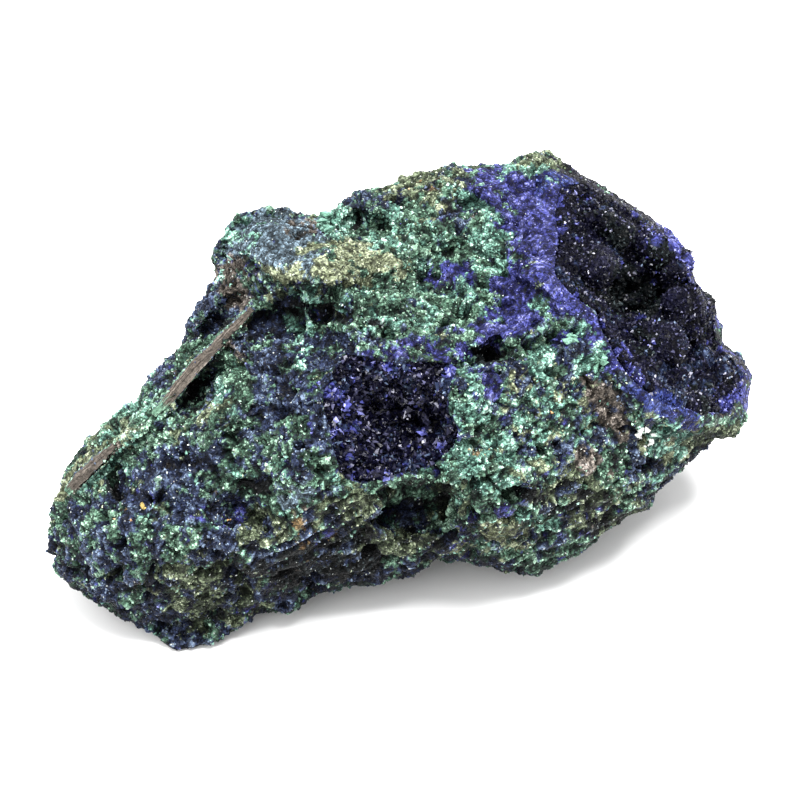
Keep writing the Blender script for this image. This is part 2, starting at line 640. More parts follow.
@dataclass(frozen=True)
class Growth:
    """How grains or small crystals stand on a surface."""

    shape: GrainShape
    sunk: float  # how deep a grain's middle lies under the surface, over its half-width
    lean: float  # how far it leans from the way its spot looks, 1 being far
    seed: int

    def mesh(
        self, name: str, surface: Surface, widths: np.ndarray, lengths: np.ndarray
    ) -> tuple[bpy.types.Mesh, np.ndarray]:
        """Makes one mesh of many grains, each a closed shape of its own.

        Args:
            name: The mesh's name.
            surface: Where the grains stand.
            widths: Each grain's half-width, in millimetres.
            lengths: Each grain's height over its half-width.

        Returns:
            The mesh, and for each of its points the number of its grain.
        """
        rows, triangles = self.shape.template()
        draw = np.random.default_rng(self.seed)
        count = len(surface.spots)
        up = surface.normals + self.lean * draw.normal(0.0, 0.5, (count, 3))
        up /= np.linalg.norm(up, axis=1, keepdims=True)
        side = np.cross(up, draw.normal(0.0, 1.0, (count, 3)))
        side /= np.linalg.norm(side, axis=1, keepdims=True)
        other = np.cross(up, side)
        flatness = draw.uniform(0.6, 1.0, count)
        own = rows[None] + draw.normal(0.0, 0.10, (count, len(rows), 3))
        points = surface.spots[:, None, :] + (widths * MM)[:, None, None] * (
            own[:, :, 0:1] * side[:, None, :]
            + own[:, :, 1:2] * (flatness[:, None] * other)[:, None, :]
            + (own[:, :, 2:3] - self.sunk) * (lengths[:, None] * up)[:, None, :]
        )
        starts = (np.arange(count) * len(rows))[:, None, None]
        faces = (triangles[None] + starts).reshape(-1, 3)
        mesh = bpy.data.meshes.new(name)
        mesh.from_pydata(points.reshape(-1, 3).tolist(), [], faces.tolist())
        mesh.update()
        return mesh, np.repeat(np.arange(count), len(rows))


# --- Finishes ---------------------------------------------------------------------------------


class Wiring:
    """Adds shader nodes to a material and joins them up."""

    def __init__(self, material: bpy.types.Material) -> None:
        """Starts from the material's Principled shader."""
        material.use_nodes = True
        self.nodes = material.node_tree.nodes
        self.links = material.node_tree.links
        self.shader = self.nodes["Principled BSDF"]
        self.where = self.nodes.new("ShaderNodeTexCoord").outputs["Object"]

    def set(self, node: bpy.types.Node, inputs: dict[str | int, object]) -> None:
        """Gives a node's inputs their values, or joins them to another node's outputs.

        Args:
            node: The node.
            inputs: Each input's value, or the output that it is joined to.
        """
        for name, value in inputs.items():
            if isinstance(value, bpy.types.NodeSocket):
                self.links.new(value, node.inputs[name])
            else:
                node.inputs[name].default_value = value

    def add(self, kind: str, inputs: dict[str | int, object], **settings: str | bool) -> bpy.types.Node:
        """Adds one node.

        Args:
            kind: The node's type, without its "ShaderNode".
            inputs: Each input's value, or the output that it is joined to.
            settings: The node's own options.

        Returns:
            The node.
        """
        node = self.nodes.new("ShaderNode" + kind)
        for name, value in settings.items():
            setattr(node, name, value)
        self.set(node, inputs)
        return node

    def math(self, operation: str, *values: float | bpy.types.NodeSocket) -> bpy.types.NodeSocket:
        """One sum on numbers or outputs."""
        return self.add("Math", dict(enumerate(values)), operation=operation).outputs[0]

    def ranged(self, value: bpy.types.NodeSocket, start: Pair, end: Pair) -> bpy.types.NodeSocket:
        """Carries a value over from one range to another, held at its ends."""
        names = ("Value", "From Min", "From Max", "To Min", "To Max")
        inputs = dict(zip(names, (value, *start, *end), strict=True))
        return self.add("MapRange", inputs).outputs["Result"]


@dataclass(frozen=True)
class Finish:
    """How one kind of surface takes the light."""

    name: str
    fleck: float  # the size of its flecks, in millimetres
    contrast: float  # how much darker and brighter the flecks are than the surface
    curl: float  # the size of its crinkled ridges, in millimetres
    curl_depth: float  # how much darker the gaps between the ridges are
    rough: Pair  # from its smoothest to its roughest spots
    bump: float  # how high its ridges stand, in millimetres
    specular: float

    def material(self) -> bpy.types.Material:
        """Makes the material, which multiplies each point's tint by its own flecks and ridges.

        Returns:
            The material.
        """
        made = bpy.data.materials.new(self.name)
        wiring = Wiring(made)
        tinted = wiring.add("Attribute", {}, attribute_name="tint").outputs["Color"]
        place = {"Vector": wiring.where}
        flecks = wiring.add("TexVoronoi", place | {"Scale": 1.0 / (self.fleck * MM)})
        random = wiring.add("SeparateColor", {0: flecks.outputs["Color"]})
        spread = wiring.add("TexNoise", place | {"Scale": 0.4 / (self.fleck * MM), "Detail": 4.0})
        both = wiring.math("MULTIPLY_ADD", random.outputs[0], 0.6, spread.outputs["Fac"])
        level = wiring.ranged(both, (0.35, 1.25), (1.0 - self.contrast, 1.0 + self.contrast))
        folds = {"Scale": 1.0 / (self.curl * MM), "Detail": 2.0, "Distortion": 0.6}
        waves = wiring.add("TexNoise", place | folds)
        off_ridge = wiring.math("ABSOLUTE", wiring.math("SUBTRACT", waves.outputs["Fac"], 0.5))
        ridge = wiring.ranged(off_ridge, (0.0, 0.10), (1.0, 0.0))
        shade = wiring.ranged(ridge, (0.0, 1.0), (1.0 - self.curl_depth, 1.0 + 0.7 * self.curl_depth))
        scale = wiring.math("MULTIPLY", level, shade)
        colour = wiring.add("VectorMath", {0: tinted, "Scale": scale}, operation="SCALE")
        rough = wiring.ranged(random.outputs[1], (0.0, 1.0), self.rough)
        bump = wiring.add("Bump", {"Height": ridge, "Strength": 1.0, "Distance": self.bump * MM})
        looks = {
            "Base Color": colour.outputs[0],
            "Roughness": rough,
            "Normal": bump.outputs["Normal"],
            "Specular IOR Level": self.specular,
        }
        wiring.set(wiring.shader, looks)
        return made


ROCK_FINISH = Finish(
    "rock_groundmass",
    fleck=0.28,
    contrast=0.60,
    curl=0.9,
    curl_depth=0.75,
    rough=(0.5, 0.85),
    bump=0.22,
    specular=0.15,
)
MALACHITE_FINISH = Finish(
    "malachite",
    fleck=0.35,
    contrast=0.30,
    curl=0.8,
    curl_depth=0.35,
    rough=(0.35, 0.65),
    bump=0.04,
    specular=0.25,
)
AZURITE_FINISH = Finish(
    "azurite",
    fleck=0.35,
    contrast=0.30,
    curl=0.8,
    curl_depth=0.35,
    rough=(0.2, 0.5),
    bump=0.03,
    specular=0.25,
)
EARTH_FINISH = Finish(
    "limonite_and_clay",
    fleck=0.35,
    contrast=0.35,
    curl=0.8,
    curl_depth=0.35,
    rough=(0.6, 0.9),
    bump=0.05,
    specular=0.15,
)
GLINT_FINISH = Finish(
    "clear_facets",
    fleck=0.30,
    contrast=0.10,
    curl=0.8,
    curl_depth=0.10,
    rough=(0.05, 0.2),
    bump=0.02,
    specular=0.8,
)
LINING_FINISH = Finish(
    "crystal_bed",
    fleck=0.40,
    contrast=0.50,
    curl=1.0,
    curl_depth=0.60,
    rough=(0.25, 0.5),
    bump=0.15,
    specular=0.06,
)
DRUSE_FINISH = Finish(
    "azurite_crystals",
    fleck=0.45,
    contrast=0.30,
    curl=1.2,
    curl_depth=0.25,
    rough=(0.12, 0.35),
    bump=0.02,
    specular=0.14,
)


# --- The rock ---------------------------------------------------------------------------------


@dataclass(frozen=True)
class Stroke:
    """A small groove, pit or rib on the show face."""

    name: str
    start: Pair
    end: Pair
    width: float  # half of it
    height: float  # under 0 for a groove

    def lift(self, laid: np.ndarray) -> np.ndarray:
        """Works out how the stroke changes the surface.

        Args:
            laid: The spots' u, v and w in millimetres, one to a row.

        Returns:
            How far it moves each spot, in millimetres.
        """
        start = np.array(self.start)
        along = np.array(self.end) - start
        share = ((laid[:, :2] - start) @ along / max(float(along @ along), 1e-9)).clip(0.0, 1.0)
        far = np.linalg.norm(laid[:, :2] - start - share[:, None] * along, axis=1) / self.width
        return self.height * (1.0 - far.clip(0.0, 1.0) ** 2) ** 2


STROKES = (
    Stroke("slit's closed end", (8.0, 5.8), (11.0, 6.8), 1.8, 1.5),
    Stroke("slit's right end", (16.0, 8.4), (17.5, 9.4), 1.5, 1.4),
    Stroke("crack in the azurite", (16.0, 20.8), (23.6, 16.4), 0.8, -1.3),
    Stroke("crack above it", (12.4, 24.0), (16.0, 20.8), 0.8, -1.0),
    Stroke("small hole of the lobe", (-46.0, -12.4), (-45.4, -14.8), 1.2, -3.2),
    Stroke("hole of the malachite block", (17.2, -15.0), (20.8, -14.0), 1.1, -2.0),
    Stroke("pit behind the block", (-7.2, 29.2), (-6.8, 28.6), 0.9, -0.9),
    Stroke("slit over the blade", (-30.0, 9.6), (-26.0, 12.4), 0.9, -1.6),
    Stroke("pit of the lobe", (-25.0, -14.4), (-21.6, -13.0), 1.4, -1.4),
    Stroke("edge of the slope", (-51.6, -13.2), (-47.2, -9.4), 1.0, -1.0),
    Stroke("recess under the block", (-23.4, 12.8), (-12.0, 14.0), 2.2, -1.3),
    Stroke("cave's roof", (-3.0, -15.0), (7.4, -14.6), 1.2, -2.4),
    Stroke("cave", (-1.0, -18.0), (5.6, -16.6), 2.2, -2.0),
    Stroke("cave's end", (-6.4, -21.4), (-1.6, -18.8), 1.6, -1.6),
    Stroke("gap beside the malachite block", (5.0, -10.4), (8.4, -18.0), 0.9, -1.6),
    Stroke("joint in the malachite block", (5.6, -11.4), (19.6, -8.2), 0.7, -0.9),
    Stroke("upright joint in it", (10.8, -18.0), (12.4, -8.0), 0.6, -0.8),
    Stroke("valley's pit", (6.0, 16.0), (10.0, 15.2), 1.4, -1.4),
    Stroke("valley's seam", (-12.0, 13.0), (0.0, 14.6), 1.2, -1.4),
)


@dataclass(frozen=True)
class Layers:
    """Thin layers of the rock that crop out side by side over one stretch of the show face."""

    name: str
    at: Pair
    size: Pair  # half-widths along and across the layers
    turn: float  # degrees, anticlockwise from u
    spacing: float
    height: float

    def lift(self, laid: np.ndarray, wander: np.ndarray) -> tuple[np.ndarray, np.ndarray]:
        """Works out how the layers change the surface.

        Args:
            laid: The spots' u, v and w in millimetres, one to a row.
            wander: How far the layers bend aside at each spot, in millimetres.

        Returns:
            How fully each spot lies among the layers, from 0 to 1, and how far they move it, in millimetres.
        """
        along, across = turned(laid, self.at, self.turn)
        share = smooth_step((1.25 - np.hypot(along / self.size[0], across / self.size[1])) / 0.5)
        return share, self.height * share * np.sin(2.0 * math.pi * (across + wander) / self.spacing)


LAYERS = (
    Layers("underside, right", (28.0, -20.5), (15.0, 4.6), 24.0, 1.5, 0.45),
    Layers("underside, left", (-12.5, -20.0), (12.0, 4.6), 33.0, 1.6, 0.50),
)

# How strongly the lumps stand out on each mineral; on the others they stand out in full.
RUGGED = {
    VIOLET: 0.5,
    ROYAL: 0.5,
    PALE: 0.5,
    TAN: 0.5,
    BROWN: 0.8,
    OLIVE: 0.8,
    OCHRE: 0.4,
    MINT: 0.8,
    NIGHT: 0.6,
}


@dataclass(frozen=True)
class Rim:
    """How the rock behaves beside a hollow's lining."""

    reach: float  # how far the lining's minerals spread over the rock, in millimetres
    ragged: float  # how far that comes and goes
    behind: float  # how much further they spread on the side away from the show face
    calm: Pair  # how far off the rock's lumps begin, and are full
    minerals: dict[Mineral, float]  # how strongly each takes over


RIMS = {
    "vug_crystals": Rim(
        reach=1.2,
        ragged=2.6,
        behind=0.0,
        calm=(0.2, 1.6),
        minerals={NIGHT: 5.0, VIOLET: 5.0, SLATE: 3.5},
    ),
    "hollow_crystals": Rim(
        reach=0.5,
        ragged=5.0,
        behind=4.0,
        calm=(0.5, 6.0),
        minerals={NIGHT: 7.0, VIOLET: 3.0},
    ),
}


@dataclass(frozen=True)
class Lumps:
    """One size of the rock's lumps, ridges or pits."""

    height: float  # in millimetres
    grain: float  # how far apart they are, in millimetres
    seed: float
    glow: float = 0.0  # how much brighter their tops are than their feet


def far_from(node: str, points: np.ndarray) -> np.ndarray:
    """Measures how far places are from a solid of the frame.

    Args:
        node: The solid's name.
        points: The places in metres, one to a row.

    Returns:
        How far each is, in millimetres.
    """
    tree = tree_of(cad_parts[node].data)
    return np.array([tree.find_nearest(p)[3] for p in points.tolist()]) / MM


def thickness(mesh: bpy.types.Mesh) -> np.ndarray:
    """Measures how far a solid goes on straight behind each of its points.

    Args:
        mesh: The solid's mesh.

    Returns:
        How thick it is there, in millimetres.
    """
    points, normals = places_of(mesh), normals_of(mesh)
    tree = tree_of(mesh)
    starts = points - normals * 0.02 * MM
    found = [tree.ray_cast(p, n)[3] for p, n in zip(starts.tolist(), (-normals).tolist(), strict=True)]
    return np.array([math.inf if far is None else far for far in found]) / MM


@dataclass
class RockBody:
    """The rock itself: an even mesh over the solid, with lumps and nodules and a mineral for each spot."""

    voxel: float = 0.43
    smoothing: int = 6
    clods: Lumps = Lumps(1.5, 6.5, 1.0)
    rounded: tuple[Lumps, ...] = (
        Lumps(1.0, 2.9, 2.0, 0.28),
        Lumps(0.6, 1.6, 3.0, 0.40),
        Lumps(0.45, 1.0, 4.0, 0.50),
    )
    curls: Lumps = Lumps(0.9, 1.5, 12.0, 0.8)
    pits: Lumps = Lumps(2.2, 3.6, 4.0)
    deepest: float = 0.3  # of the rock's thickness, so that no pit folds a thin ridge over
    underside: float = 0.43  # how much darker it is where it looks down
    stray: float = 0.25  # how freely specks of other minerals are sprinkled in
    minerals: MineralMap = field(default_factory=lambda: MineralMap(GROUND_SHARES, PATCHES))
    mesh: bpy.types.Mesh = field(init=False)
    points: np.ndarray = field(init=False)
    facing: np.ndarray = field(init=False)  # how far each point looks to the show side
    found: np.ndarray = field(init=False)  # each mineral's score at each point
    far: dict[str, np.ndarray] = field(init=False)  # from each lining, in millimetres
    height: np.ndarray = field(init=False)  # of each point over the smooth solid, in millimetres
    level: np.ndarray = field(init=False)  # how bright each point's grains are

    def build(self) -> list[bpy.types.Object]:
        """Makes the rock and dresses it.

        Returns:
            Its two halves.
        """
        self.mesh = fine_copy("rock", self.voxel, self.smoothing)
        smooth, normals = places_of(self.mesh), normals_of(self.mesh)
        self.facing = SHOW.facing(normals, 0.2, 0.3)
        self.far = {node: far_from(node, smooth) for node in RIMS}
        self.found = self.minerals.scores(smooth, self.facing)
        self.spread_rims(smooth)
        self.raise_lumps(smooth, normals)
        self.points = smooth + normals * (self.height * MM)[:, None]
        resting = smooth[:, 2] < 0.05 * MM
        self.points[resting] = smooth[resting]
        self.points[:, 2] = self.points[:, 2].clip(0.0)
        move_points(self.mesh, self.points)
        return self.halves()

    def halves(self) -> list[bpy.types.Object]:
        """Parts the rock at its middle, so that neither piece is too fine to hand on.

        Returns:
            The left piece and the right one.
        """
        draw = np.random.default_rng(5)
        colours = self.minerals.colours(self.minerals.chosen(self.found, draw, self.stray), self.level)
        corners = triangles_of(self.mesh)
        left = self.points[corners].mean(axis=1)[:, 0] < 0.0
        material = ROCK_FINISH.material()
        made = []
        for name, mine in (("rock_body_left", left), ("rock_body_right", ~left)):
            used, corner_of = np.unique(corners[mine], return_inverse=True)
            part = bpy.data.meshes.new(name)
            part.from_pydata(self.points[used].tolist(), [], corner_of.reshape(-1, 3).tolist())
            made.append(new_piece(name, "rock", part, colours[used], material))
        return made

    def spread_rims(self, points: np.ndarray) -> None:
        """Lets the minerals of each hollow spread a little way over its rim, with a ragged border.

        Args:
            points: The mesh's points in metres, one to a row.
        """
        ragged = swells(points, 3.2, 31.0)
        for node, rim in RIMS.items():
            reach = rim.reach + rim.ragged * ragged + rim.behind * (1.0 - self.facing)
            inside = smooth_step((reach - self.far[node]) / 0.8)
            for mineral, share in rim.minerals.items():
                self.found[:, mineral.column] += share * inside

    def raise_lumps(self, points: np.ndarray, normals: np.ndarray) -> None:
        """Works out how far each point stands out, and how bright its grains are.

        Args:
            points: The mesh's points in metres, one to a row.
            normals: The way that each looks.
        """
        wavy = warped(warped(points, 2.4, 1.0, 7.0), 0.9, 0.35, 8.0)
        found = self.clods.height * (0.25 - np.abs(swells(points, self.clods.grain, self.clods.seed)))
        level = 0.44 + 0.10 * swells(points, 5.0, 9.0)
        for lumps in self.rounded:
            dome, chance = domes(wavy, lumps.grain, lumps.seed)
            found += lumps.height * (0.2 + 0.8 * chance) * dome
            level += lumps.glow * dome + 0.22 * (chance - 0.5)
        curls = 0.16 - np.abs(swells(points, self.curls.grain, self.curls.seed))
        found += self.curls.height * curls
        level += self.curls.glow * curls
        sinks = swells(points, self.pits.grain, self.pits.seed, 2)
        found -= self.pits.height * smooth_step((sinks - 0.28) / 0.3)
        laid = SHOW.laid_out(points)
        wander = 1.2 * swells(points, 7.0, 51.0)
        for layers in LAYERS:
            share, lift = layers.lift(laid, wander)
            found = found * (1.0 - 0.6 * share * self.facing) + lift * self.facing
            level += 0.30 * lift * self.facing
        carved = sum(stroke.lift(laid) for stroke in STROKES) * self.facing
        calm = np.array([RUGGED.get(mineral, 1.0) for mineral in MINERALS])[self.found.argmax(axis=1)]
        free = self.freedom(points)
        self.height = np.maximum((found * calm + carved) * free, -self.deepest * thickness(self.mesh))
        level += 0.09 * self.height.clip(-2.4, 0.9)
        self.level = level - self.underside * smooth_step((-normals[:, 2] - 0.05) / 0.5)

    def freedom(self, points: np.ndarray) -> np.ndarray:
        """Works out how freely the lumps rise: not where the rock rests, nor beside a lining.

        Args:
            points: The mesh's points in metres, one to a row.

        Returns:
            The share of its height that a lump has at each point.
        """
        free = smooth_step((points[:, 2] / MM - 0.2) / 1.6)
        for node, rim in RIMS.items():
            free = free * smooth_step((self.far[node] - rim.calm[0]) / (rim.calm[1] - rim.calm[0]))
        return free


class Kind(Enum):
    """What a piece of grains is made of."""

    MALACHITE = ((GREEN, MINT), GrainShape.BLOCK, MALACHITE_FINISH)
    AZURITE = ((SLATE, VIOLET, ROYAL, PALE, NIGHT, SHADE, CLEAR), GrainShape.TABLET, AZURITE_FINISH)
    EARTH = ((OLIVE, TAN, BROWN, OCHRE), GrainShape.TABLET, EARTH_FINISH)

    def __init__(self, minerals: tuple[Mineral, ...], shape: GrainShape, finish: Finish) -> None:
        """Keeps its minerals, its grains' form and how they take the light."""
        self.minerals = minerals
        self.shape = shape
        self.finish = finish


# Each mineral's half-widths in millimetres, from its smallest to its biggest grains.
GRAIN_WIDTHS = {
    GREEN: (0.15, 0.42),
    MINT: (0.15, 0.46),
    SLATE: (0.15, 0.36),
    VIOLET: (0.12, 0.26),
    ROYAL: (0.12, 0.24),
    PALE: (0.14, 0.30),
    NIGHT: (0.14, 0.36),
    OLIVE: (0.14, 0.34),
    TAN: (0.14, 0.30),
    BROWN: (0.12, 0.24),
    OCHRE: (0.20, 0.45),
    SHADE: (0.16, 0.36),
    CLEAR: (0.14, 0.30),
}


@dataclass
class Grains:
    """The small grains that cover the rock, each piece holding the grains of one kind of mineral."""

    body: RockBody
    count: int = 50000
    glints: int = 2600
    sunk: float = 0.2
    lean: float = 0.8
    stray: float = 0.5  # how freely grains of other minerals are sprinkled in
    lengths: Pair = (0.6, 1.25)
    seed: int = 11

    def build(self) -> list[bpy.types.Object]:
        """Scatters the grains, sorts them by kind and makes a piece of each.

        Returns:
            The pieces.
        """
        body, minerals = self.body, self.body.minerals
        weights = 0.35 + 0.65 * body.facing
        weights *= smooth_step((body.points[:, 2] / MM - 0.3) / 0.5)
        weights *= 0.3 + 0.7 * smooth_step((body.height + 2.0) / 1.6)
        surface = scatter(body.mesh, self.count, weights, self.seed)
        draw = np.random.default_rng(self.seed + 1)
        chosen = minerals.chosen(body.found[surface.nearest], draw, self.stray)
        brightness = body.level[surface.nearest] + draw.normal(0.10, 0.28, self.count)
        colours = minerals.colours(chosen, brightness)
        small, big = np.array([GRAIN_WIDTHS[mineral] for mineral in MINERALS])[chosen].T
        widths = small + (big - small) * draw.random(self.count) ** 2.0
        lengths = draw.uniform(*self.lengths, self.count)
        made = []
        for kind in Kind:
            these = np.flatnonzero(np.isin(chosen, [mineral.column for mineral in kind.minerals]))
            title = f"{kind.name.lower()}_grains"
            growth = Growth(kind.shape, self.sunk, self.lean, seed=13)
            mesh, owner = growth.mesh(title, surface.part(these), widths[these], lengths[these])
            made.append(new_piece(title, "rock", mesh, colours[these][owner], kind.finish.material()))
        return [*made, self.glinting(weights)]

    def glinting(self, weights: np.ndarray) -> bpy.types.Object:
        """Scatters the tiny clear facets that catch the light.

        Args:
            weights: How thickly grains lie round each of the rock's points.

        Returns:
            The piece that holds them.
        """
        violet = self.body.found.argmax(axis=1) == VIOLET.column
        weights = weights * self.body.level.clip(0.05, 1.0) * np.where(violet, 0.3, 1.0)
        surface = scatter(self.body.mesh, self.glints, weights, self.seed + 3)
        draw = np.random.default_rng(self.seed + 4)
        widths = 0.07 + 0.15 * draw.random(self.glints) ** 2
        growth = Growth(GrainShape.TABLET, sunk=-0.2, lean=1.0, seed=17)
        mesh, _ = growth.mesh("glints", surface, widths, np.ones(self.glints))
        shades = np.array([0.60, 0.65, 0.62]) * draw.uniform(0.5, 1.1, (len(mesh.vertices), 1))
        return new_piece("glints", "rock", mesh, shades.clip(0.0, 1.0), GLINT_FINISH.material())


@dataclass
class Blade:
    """A thin plate that crops out of the slope of the near lobe, worn smooth and streaked lengthwise."""

    body: RockBody
    name: str
    path: tuple[Triple, ...]  # u, v and half-width
    brown_ends: float  # the share of its length after which malachite streaks begin
    raised: float  # how far it stands out of the rock
    grains: int  # that crust its sides
    depth: float = 2.6
    bow: float = 0.55  # how far it follows the rock's curve, 0 being straight
    rows: int = 80
    columns: int = 19
    side_share: float = 0.25  # of its half-width, given to each side in the grid

    def build(self) -> list[bpy.types.Object]:
        """Lays the plate on the rock.

        Returns:
            The plate, and the grains down its sides.
        """
        path = np.array(self.path)
        stations = np.linspace(0.0, len(path) - 1.0, self.rows)
        middle = np.column_stack([np.interp(stations, range(len(path)), path[:, i]) for i in range(3)])
        along = np.gradient(middle[:, :2], axis=0)
        along /= np.linalg.norm(along, axis=1, keepdims=True)
        across = np.column_stack([-along[:, 1], along[:, 0]])
        over = np.linspace(-1.0 - self.side_share, 1.0 + self.side_share, self.columns)
        share = over.clip(-1.0, 1.0)
        fall = (np.abs(over) - 1.0).clip(0.0) / self.side_share
        reach = middle[:, 2:3] * share
        flat = middle[:, None, :2] + reach[:, :, None] * across[:, None, :]
        height = self.surface_under(middle[:, :2]) + self.raised
        depth = 0.12 - 0.12 * share**2 - self.depth * fall
        laid = np.dstack([flat, np.broadcast_to(height[:, None] + depth, reach.shape)]).reshape(-1, 3)
        length, fall = stations.repeat(self.columns), np.tile(fall, self.rows)
        drawn_out = np.column_stack([length * 0.8, np.tile(share * 5.0, self.rows), laid[:, 2] * 0])
        streak = swells(drawn_out * MM, 1.0, 6.0)
        laid[:, 2] += 0.14 * streak
        waves = np.column_stack([swells(laid * MM, 2.0, seed) for seed in (7.0, 8.0)])
        laid[:, :2] += (0.22 + 0.35 * fall)[:, None] * waves
        corner = (np.arange(self.rows - 1)[:, None] * self.columns + np.arange(self.columns - 1)).ravel()
        faces = np.column_stack([corner, corner + self.columns, corner + self.columns + 1, corner + 1])
        mesh = bpy.data.meshes.new(self.name)
        mesh.from_pydata(SHOW.placed(laid).tolist(), [], faces.tolist())
        mottle = smooth_step(0.5 + 2.5 * swells(laid * MM, 1.1, 9.0, 2))
        colours = self.colours(length / (len(path) - 1.0), streak, fall, mottle)
        plate = new_piece(self.name, "rock", mesh, colours, EARTH_FINISH.material())
        return [plate, self.crusted(mesh, fall)]

    def surface_under(self, spots: np.ndarray) -> np.ndarray:
        """Finds how far out the rock stands under the plate, evened to one bow.

        Args:
            spots: The u and v of places along it, one to a row.

        Returns:
            The w of each, in millimetres.
        """
        body = SHOW.laid_out(self.body.points)[self.body.facing > 0.5]
        found = []
        for spot in spots:
            near = np.hypot(body[:, 0] - spot[0], body[:, 1] - spot[1]) < 1.4
            found.append(np.percentile(body[near, 2], 80) if near.any() else np.nan)
        found = np.array(found)
        rows = np.arange(len(found))
        known = ~np.isnan(found)
        straight, bowed = (np.polyval(np.polyfit(rows[known], found[known], n), rows) for n in (1, 2))
        return (1.0 - self.bow) * straight + self.bow * bowed

    def colours(
        self, share: np.ndarray, streak: np.ndarray, fall: np.ndarray, mottle: np.ndarray
    ) -> np.ndarray:
        """Colours it brown, then streaked with malachite, and like the rock down its sides.

        Args:
            share: How far along the plate each point is, from 0 to 1.
            streak: Its streaks, from about -1 to 1.
            fall: How far down a side the point is, 0 being on the face.
            mottle: Malachite's share of the crust there.

        Returns:
            The colours, one to a row.
        """
        brown = BROWN.shaded(0.35 + 0.35 * streak)
        green = GREEN.shaded(0.46 + 0.4 * streak)
        slate = SLATE.shaded(0.42 + 0.4 * streak)
        mix = smooth_step((share - self.brown_ends) / 0.05 + 2.2 * streak) * (share > self.brown_ends - 0.1)
        face = brown * (1.0 - mix)[:, None] + green * mix[:, None]
        side = slate * (1.0 - mottle)[:, None] + green * mottle[:, None]
        crust = smooth_step(1.6 * fall)[:, None]
        return face * (1.0 - crust) + side * crust

    def crusted(self, mesh: bpy.types.Mesh, fall: np.ndarray) -> bpy.types.Object:
        """Scatters grains over its sides, thicker towards their foot.

        Args:
            mesh: The plate.
            fall: How far down a side each of its points is, 0 being on the face.

        Returns:
            The piece that holds them.
        """
        surface = scatter(mesh, self.grains, fall**0.7 + 0.004, 61)
        draw = np.random.default_rng(62)
        widths = draw.uniform(0.15, 0.42, self.grains)
        lengths = draw.uniform(0.6, 1.25, self.grains)
        title = f"{self.name}_crust"
        growth = Growth(GrainShape.BLOCK, sunk=0.2, lean=0.8, seed=63)
        crust, owner = growth.mesh(title, surface, widths, lengths)
        green = draw.random((self.grains, 1)) < 0.6
        level = draw.normal(0.52, 0.28, self.grains)
        shades = np.where(green, GREEN.shaded(level), SLATE.shaded(level))
        return new_piece(title, "rock", crust, shades[owner], MALACHITE_FINISH.material())


BLADE_PATH = (
    (-23.6, 14.6, 0.45),
    (-26.1, 12.2, 0.70),
    (-29.5, 8.7, 0.80),
    (-33.0, 5.0, 0.95),
    (-36.2, 1.2, 0.90),
    (-39.4, -2.4, 0.50),
)
LOWER_PLATE_PATH = ((-45.6, -7.2, 0.4), (-48.4, -9.8, 0.8), (-51.0, -12.2, 0.9), (-53.2, -14.8, 0.5))


@dataclass(frozen=True)
class Cluster:
    """A few bigger crystals or chips that stand out at one place of the show face."""

    name: str
    at: Pair
    reach: float
    count: int
    widths: Pair
    lengths: Pair
    colour: Triple
    finish: Finish = MALACHITE_FINISH

    def spots(self, body: RockBody, draw: np.random.Generator) -> Surface:
        """Picks the points of the rock that they stand on.

        Args:
            body: The rock.
            draw: Where the random picks come from.

        Returns:
            The points, which all look out of the show face.
        """
        laid = SHOW.laid_out(body.points)
        near = np.hypot(laid[:, 0] - self.at[0], laid[:, 1] - self.at[1]) < self.reach
        near &= body.facing > 0.8
        found = draw.choice(np.flatnonzero(near), self.count)
        out = np.broadcast_to(SHOW.axes()[2], (self.count, 3))
        return Surface(body.points[found], out, found)


CLUSTERS = (
    Cluster("quartz", (39.2, -5.9), 1.5, 44, (0.24, 0.66), (0.8, 1.6), (0.72, 0.73, 0.71), GLINT_FINISH),
    Cluster("plates_behind_block", (-10.6, 29.0), 1.9, 9, (0.7, 1.3), (0.5, 0.9), (0.19, 0.39, 0.30)),
    Cluster("shards_by_band", (28.0, 10.0), 1.1, 6, (0.6, 1.1), (0.8, 1.3), (0.22, 0.42, 0.32)),
    Cluster("shards_by_hollow", (31.9, 6.3), 1.2, 6, (0.6, 1.1), (0.8, 1.3), (0.17, 0.34, 0.25)),
    Cluster("shards_by_slit", (22.6, 11.4), 0.8, 4, (0.5, 0.9), (0.8, 1.2), (0.24, 0.44, 0.35)),
    Cluster("facets_of_block", (16.6, -13.6), 1.0, 5, (0.6, 1.0), (0.6, 0.9), (0.15, 0.30, 0.22)),
    Cluster("chip_long", (-41.2, -16.8), 0.4, 2, (0.5, 0.8), (0.6, 0.9), (0.40, 0.30, 0.10), EARTH_FINISH),
    Cluster("chip_left", (-45.9, -19.0), 0.4, 1, (0.4, 0.5), (0.6, 0.9), (0.55, 0.35, 0.20), EARTH_FINISH),
    Cluster("chip_right", (-43.2, -19.0), 0.4, 1, (0.35, 0.45), (0.6, 0.9), (0.55, 0.33, 0.18), EARTH_FINISH),
    Cluster("chip_foot", (-27.2, -19.2), 0.5, 2, (0.3, 0.5), (0.6, 0.9), (0.40, 0.24, 0.10), EARTH_FINISH),
    Cluster("chip_far", (24.6, -2.2), 0.4, 1, (0.4, 0.5), (0.6, 0.9), (0.52, 0.29, 0.14), EARTH_FINISH),
)


